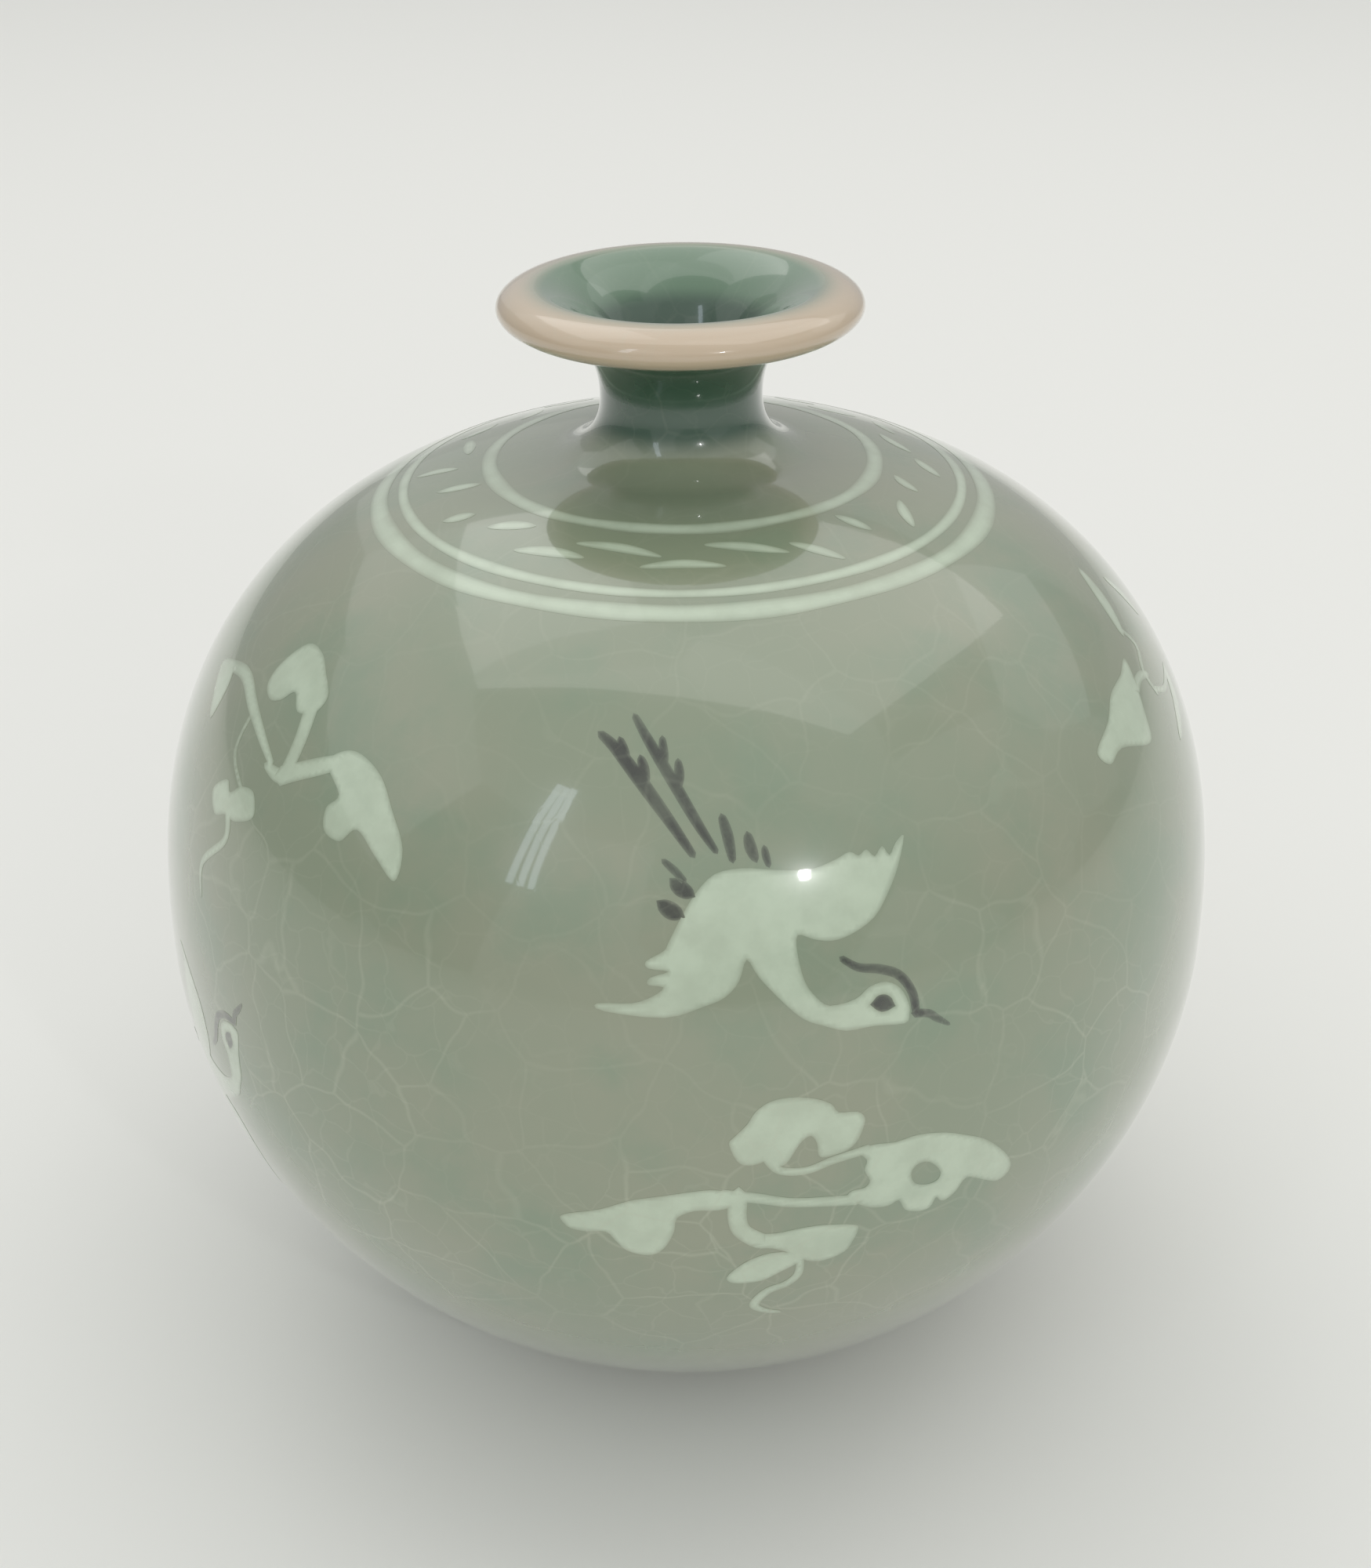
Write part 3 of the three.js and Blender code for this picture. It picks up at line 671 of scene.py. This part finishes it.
CRANES = {
    "crane_1": {"azimuth": 5.9, "height": 84.2},
    "crane_2": {"azimuth": -61.2, "height": 47.2, "turn": 83, "size": 0.95},
    "crane_3": {"azimuth": 150, "height": 78, "turn": 12},
}

# %% Lay the cranes
for crane, where in CRANES.items():
    place = station(**where)
    eye_hole = CRANE_BLACK["eye"]
    lay(f"{crane}_white", [f"{crane}_body"], [CRANE_WHITE], place, white_slip, "white_slip", eye_hole)
    for part, outlines in CRANE_BLACK.items():
        lay(f"{crane}_{part}_slip", [f"{crane}_{part}"], outlines, place, black_slip, "black_slip")
    for i, outline in enumerate(EXTRA_FEATHERS, 1):
        lay(f"{crane}_feather_{i}", [], [outline], place, black_slip, "black_slip")
print("cranes", len(CRANES))

# %% [markdown]
# ## Clouds
#
# A cloud is a few round lobes with tails brushed between them, cut as one recess and filled with
# white slip. The front one drifts, the left one curls, and one is half out of sight at the right.

# %% The clouds' outlines
DRIFTING = [
    smooth([(-5.5, 6.8), (-4.9, 7.7), (-3.7, 9), (-2.9, 10.3), (-1.5, 11.3), (0.5, 11.6),
            (2.8, 11.2), (4.6, 10.3), (5.4, 9.2), (7.3, 8.9), (8.1, 8), (7.9, 6.7), (7.2, 5.2),
            (6, 4.4), (4.1, 4.1), (3.4, 4.5), (3.2, 6), (2.6, 6.9), (1.7, 6.4), (1, 5.3), (0.2, 4),
            (-0.7, 3.7), (-1.6, 4.6), (-2.4, 4.3), (-3.6, 4.1), (-4.7, 4.7)], 3),
    brush([(-1.9, 4.9), (-0.5, 3.2), (2.2, 2.8), (5, 3.6), (8.6, 4.2)], 0.9, 0.95, 1.1),
    smooth([(7.4, 4.1), (9, 4.6), (11.4, 4.3), (13.9, 4.5), (16.9, 3.8), (19.7, 2.4), (21.8, 1),
            (24, -1.5), (25, -3.5), (24.8, -4.8), (23.6, -5.4), (22.3, -4.7), (20.1, -3.2),
            (19.3, -3.4), (18.6, -4.5), (17.5, -5.3), (16.8, -5.1), (16.3, -4.5), (15.7, -5.7),
            (14.5, -5.8), (12.9, -5), (12.1, -3.4), (11, -3.8), (9.1, -3.5), (7.3, -2.3),
            (6.5, -1.3), (7, -0.7), (8.3, -0.6), (8.8, 0.2), (8.2, 1.6), (8.4, 2.9)], 3),
    brush([(-6.2, 0.6), (-2.9, 0), (0.6, -1), (4.1, -1.5), (7.6, -2)], 1.5, 1.2, 1.5),
    smooth([(-22, -3), (-21.1, -2.4), (-18.2, -1.5), (-15.2, -0.1), (-12.2, 0.6), (-8.2, 1.3),
            (-6.2, 1.2), (-4.2, 0.7), (-4.5, -0.6), (-6.6, -1.3), (-8.9, -1.3), (-10.6, -2.2),
            (-10.9, -4), (-11.6, -6), (-12.6, -7.3), (-13.9, -7.6), (-15.6, -7), (-16.7, -5.6),
            (-17.6, -4.5), (-19.5, -4.7), (-21, -4.5), (-21.7, -3.8)], 3),
    brush([(-4.6, 0.6), (-4.7, -2.2), (-4.2, -4.2), (-2.6, -5.7)], 2, 1.9, 2.2),
    smooth([(-3.1, -4.8), (-0.7, -5), (1.7, -4.7), (4.2, -4.7), (7.4, -5.4), (7.9, -6.3), (7.4, -8),
            (6.6, -9.4), (4.5, -10.2), (2.7, -9.8), (0.8, -8.2), (-1, -7.2), (-2.7, -6.9),
            (-4, -5.6)], 3),
    smooth([(-5.5, -11.3), (-5.1, -12.2), (-3.9, -12.5), (-1.8, -12.3), (-0.1, -11.2), (1.6, -10.1),
            (2.3, -9.3), (0.8, -8.1), (-1.3, -7.9), (-3.3, -8.7), (-4.7, -10)], 3),
    brush([(2, -9.4), (1.9, -11.8), (0.8, -13.3), (-1, -14.2), (-2.1, -15.7), (-2.3, -17),
            (-1.2, -18.1), (0.4, -18.8)], 0.8, 1.15, 0.6),
]
DRIFTING_HOLES = [
    smooth([(13.3, -0.1), (14, 0.8), (15.3, 0.6), (16.5, -0.9), (16.3, -2), (15.1, -2.2),
            (13.7, -1.5)]),
]
CURLED = [
    smooth([(-12.3, 4), (-12, 6.6), (-9.6, 9.7), (-6.5, 9.5), (-3.9, 7.8), (-1.7, 5.9), (-2.2, 3.8),
            (-4.8, 3), (-6.8, 4.6), (-8.4, 3.2), (-10.4, 2.7)]),
    brush([(-3.2, 4.6), (-2.2, 0.4), (-2.6, -3.4), (-5.8, -3.4)], 2.2, 1.9, 0.8),
    brush([(-2.8, -3.6), (1, -1.4), (4.4, 0.6)], 2.2, 2.0, 1.6),
    smooth([(3, 0), (4.4, 1.9), (6.8, 2.4), (10.2, 1.4), (13.1, -1), (15.9, -3.9), (16.2, -7.1),
            (13.3, -5.9), (10.1, -4.4), (8.5, -6.3), (6.1, -6.1), (5.3, -4), (6.2, -2.2)]),
    brush([(-24.4, 3.4), (-18, 3.6), (-12.6, 1), (-5, -3)], 1.2, 1.7, 0.8),
    smooth([(-26, 3.4), (-24, 0), (-21.6, -2.6), (-20.6, 1.2), (-22, 4)]),
    brush([(-12.2, 0.8), (-12.4, -4), (-8.4, -7.2)], 0.6, 0.6, 0.6),
    smooth([(-14.6, -8.8), (-12.8, -11), (-10.4, -10.4), (-8, -10.4), (-4.9, -8.9), (-6.2, -6.6),
            (-8.8, -6.8), (-10.6, -8), (-12, -7)]),
    brush([(-10, -9.8), (-9.2, -12.8), (-13.6, -16.6), (-13, -20)], 1.1, 0.95, 0.35),
]
EDGE = [
    brush([(9.9, 11.2), (8.4, 7.6), (6.2, 3.7)], 1.0, 2.5, 1.0),
    brush([(15, 8), (16.4, 5.4), (17.2, 2.3)], 0.9, 1.6, 0.7),
    brush([(6.4, 4.4), (7.7, 1.4), (5, -1), (5.4, -4)], 0.7, 0.75, 0.6),
    smooth([(2.4, 1.8), (-1, 1.4), (-5.2, 1.1), (-8.7, -0.5), (-13.1, -1.7), (-12.1, -3.8),
            (-8.9, -3.7), (-2.8, -6.3), (-0.6, -3.6)]),
    brush([(0.6, -1), (3.2, -0.8), (5.6, -1.6)], 1.6, 1.1, 0.8),
    brush([(14, -3.9), (11.4, -7.4), (6.7, -10.2)], 1, 2.4, 0.6),
    brush([(5.3, -3.4), (9, -4.8), (13.4, -4.2)], 0.7, 0.8, 0.8),
]


def mirrored(outlines):
    return [[(-x, y) for x, y in reversed(outline)] for outline in outlines]


# %% Lay the clouds
CLOUDS = [
    (station(8.6, 56.2), DRIFTING, DRIFTING_HOLES),
    (station(-46.6, 92.7), CURLED, []),
    (station(65.8, 92.6), EDGE, []),
    (station(96, 50), mirrored(DRIFTING), mirrored(DRIFTING_HOLES)),
    (station(-132, 84), mirrored(CURLED), []),
]
for i, (place, outlines, holes) in enumerate(CLOUDS, 1):
    cloud = lay(f"cloud_{i}_white", [f"cloud_{i}"], outlines, place, white_slip, "white_slip", holes)
    print(cloud.name, len(cloud.data.polygons), "faces")

# %% [markdown]
# ## Floor, light and camera
#
# The vase stands on a pale floor. One small lamp high on the right makes the sharp glints that
# the photograph shows on the lip, the neck and the crane, and three narrow panels at the left
# stand for a window. A large soft panel overhead lights everything, with a soft fill in front that
# the glaze doesn't mirror, and the world is a pale room for the glaze to mirror instead.

# %% The floor
FLOOR_SIZE = 6
FLOOR_PALE = (0.82, 0.82, 0.8, 1)
deselect()
bpy.ops.mesh.primitive_plane_add(size=FLOOR_SIZE, location=(0, 0, 0))
floor = bpy.context.object
floor.name = "floor"
floor_paint = bpy.data.materials.new("floor_paint")
floor_paint.use_nodes = True
paint = floor_paint.node_tree.nodes["Principled BSDF"]
paint.inputs["Base Color"].default_value = FLOOR_PALE
paint.inputs["Roughness"].default_value = 0.9
floor.data.materials.append(floor_paint)


# %% Lights
WINDOW_AZIMUTH, WINDOW_STEP = -37, 2.6
WINDOW_TARGET, LAMP_TARGET = (-0.014, -0.052, 0.09), (0.011, -0.054, 0.0885)
WHITE, WARM_WHITE, SKY_BLUE = (1, 1, 1), (1, 0.975, 0.95), (0.78, 0.88, 1)


def panel(name, azimuth, elevation, distance, width, tall, watts, colour, target=(0, 0, 0.08)):
    """A soft panel at a direction from the vase, facing it."""
    a, e = math.radians(azimuth), math.radians(elevation)
    towards = Vector((math.sin(a) * math.cos(e), -math.cos(a) * math.cos(e), math.sin(e)))
    data = bpy.data.lights.new(name, "AREA")
    data.shape = "RECTANGLE"
    data.size, data.size_y = width, tall
    data.energy = watts
    data.color = colour
    lamp = bpy.data.objects.new(name, data)
    lamp.location = Vector(target) + towards * distance
    lamp.rotation_mode = "QUATERNION"
    lamp.rotation_quaternion = towards.to_track_quat("Z", "Y")
    bpy.context.scene.collection.objects.link(lamp)
    return lamp


panel("overhead", 165, 70, 1.2, 1.7, 1.3, 5.0, WARM_WHITE)
fill_light = panel("front_fill", 10, 25, 1.6, 1.4, 0.9, 3.4, WHITE)
fill_light.visible_glossy = False
panel("small_lamp", 26.7, 28.9, 0.62, 0.022, 0.022, 0.22, WHITE, LAMP_TARGET)
for i in (-1, 0, 1):
    azimuth = WINDOW_AZIMUTH + WINDOW_STEP * i
    panel(f"window_{i + 2}", azimuth, 38, 0.8, 0.022, 0.42, 0.07, SKY_BLUE, WINDOW_TARGET)

# %% The world: how bright it is by height and by patch
ROOM_BY_HEIGHT = (0.0, 0.75, 0.55, 0.85)
ROOM_BY_PATCH = (0.0, 1.0, 0.55, 1.3)
ROOM_PATCH_SCALE = 1.7
ROOM_WHITE = (0.95, 0.96, 0.94, 1)


def room():
    """A pale room for the glaze to mirror: bright above, dimmer walls, a few flat-sided patches."""
    world = bpy.context.scene.world or bpy.data.worlds.new("studio")
    bpy.context.scene.world = world
    world.use_nodes = True
    nodes, links = world.node_tree.nodes, world.node_tree.links
    direction = nodes.new("ShaderNodeTexCoord").outputs["Generated"]
    apart = nodes.new("ShaderNodeSeparateXYZ")
    links.new(direction, apart.inputs[0])
    height = nodes.new("ShaderNodeMapRange")
    height.interpolation_type = "SMOOTHSTEP"
    links.new(apart.outputs[2], height.inputs[0])
    for index, number in enumerate(ROOM_BY_HEIGHT, 1):
        height.inputs[index].default_value = number
    patches = nodes.new("ShaderNodeTexVoronoi")
    links.new(direction, patches.inputs["Vector"])
    patches.inputs["Scale"].default_value = ROOM_PATCH_SCALE
    patch = nodes.new("ShaderNodeMapRange")
    links.new(patches.outputs["Color"], patch.inputs[0])
    for index, number in enumerate(ROOM_BY_PATCH, 1):
        patch.inputs[index].default_value = number
    level = nodes.new("ShaderNodeMath")
    level.operation = "MULTIPLY"
    links.new(height.outputs[0], level.inputs[0])
    links.new(patch.outputs[0], level.inputs[1])
    nodes["Background"].inputs[0].default_value = ROOM_WHITE
    links.new(level.outputs[0], nodes["Background"].inputs[1])


room()
bpy.context.scene.view_settings.view_transform = "Standard"

# %% The camera
CAMERA_DISTANCE = 262.5
CAMERA_ELEVATION = 31.25
CAMERA_PITCH_DOWN = 28.84
CAMERA_ROLL = -0.617
LENS_MM, SENSOR_MM = 48.25, 36
NEAREST = 0.01
lens = bpy.data.cameras.new("camera")
lens.lens = LENS_MM
lens.sensor_width = SENSOR_MM
camera = bpy.data.objects.new("camera", lens)
bpy.context.scene.collection.objects.link(camera)
rise = math.radians(CAMERA_ELEVATION)
back, up = CAMERA_DISTANCE * math.cos(rise), CAMERA_DISTANCE * math.sin(rise)
camera.location = (0, -back * MM, (GIRTH_HEIGHT + up) * MM)
tilt = Matrix.Rotation(math.radians(90 - CAMERA_PITCH_DOWN), 4, "X")
roll = Matrix.Rotation(math.radians(CAMERA_ROLL), 4, "Z")
camera.rotation_euler = (tilt @ roll).to_euler()
lens.clip_start = NEAREST
bpy.context.scene.camera = camera
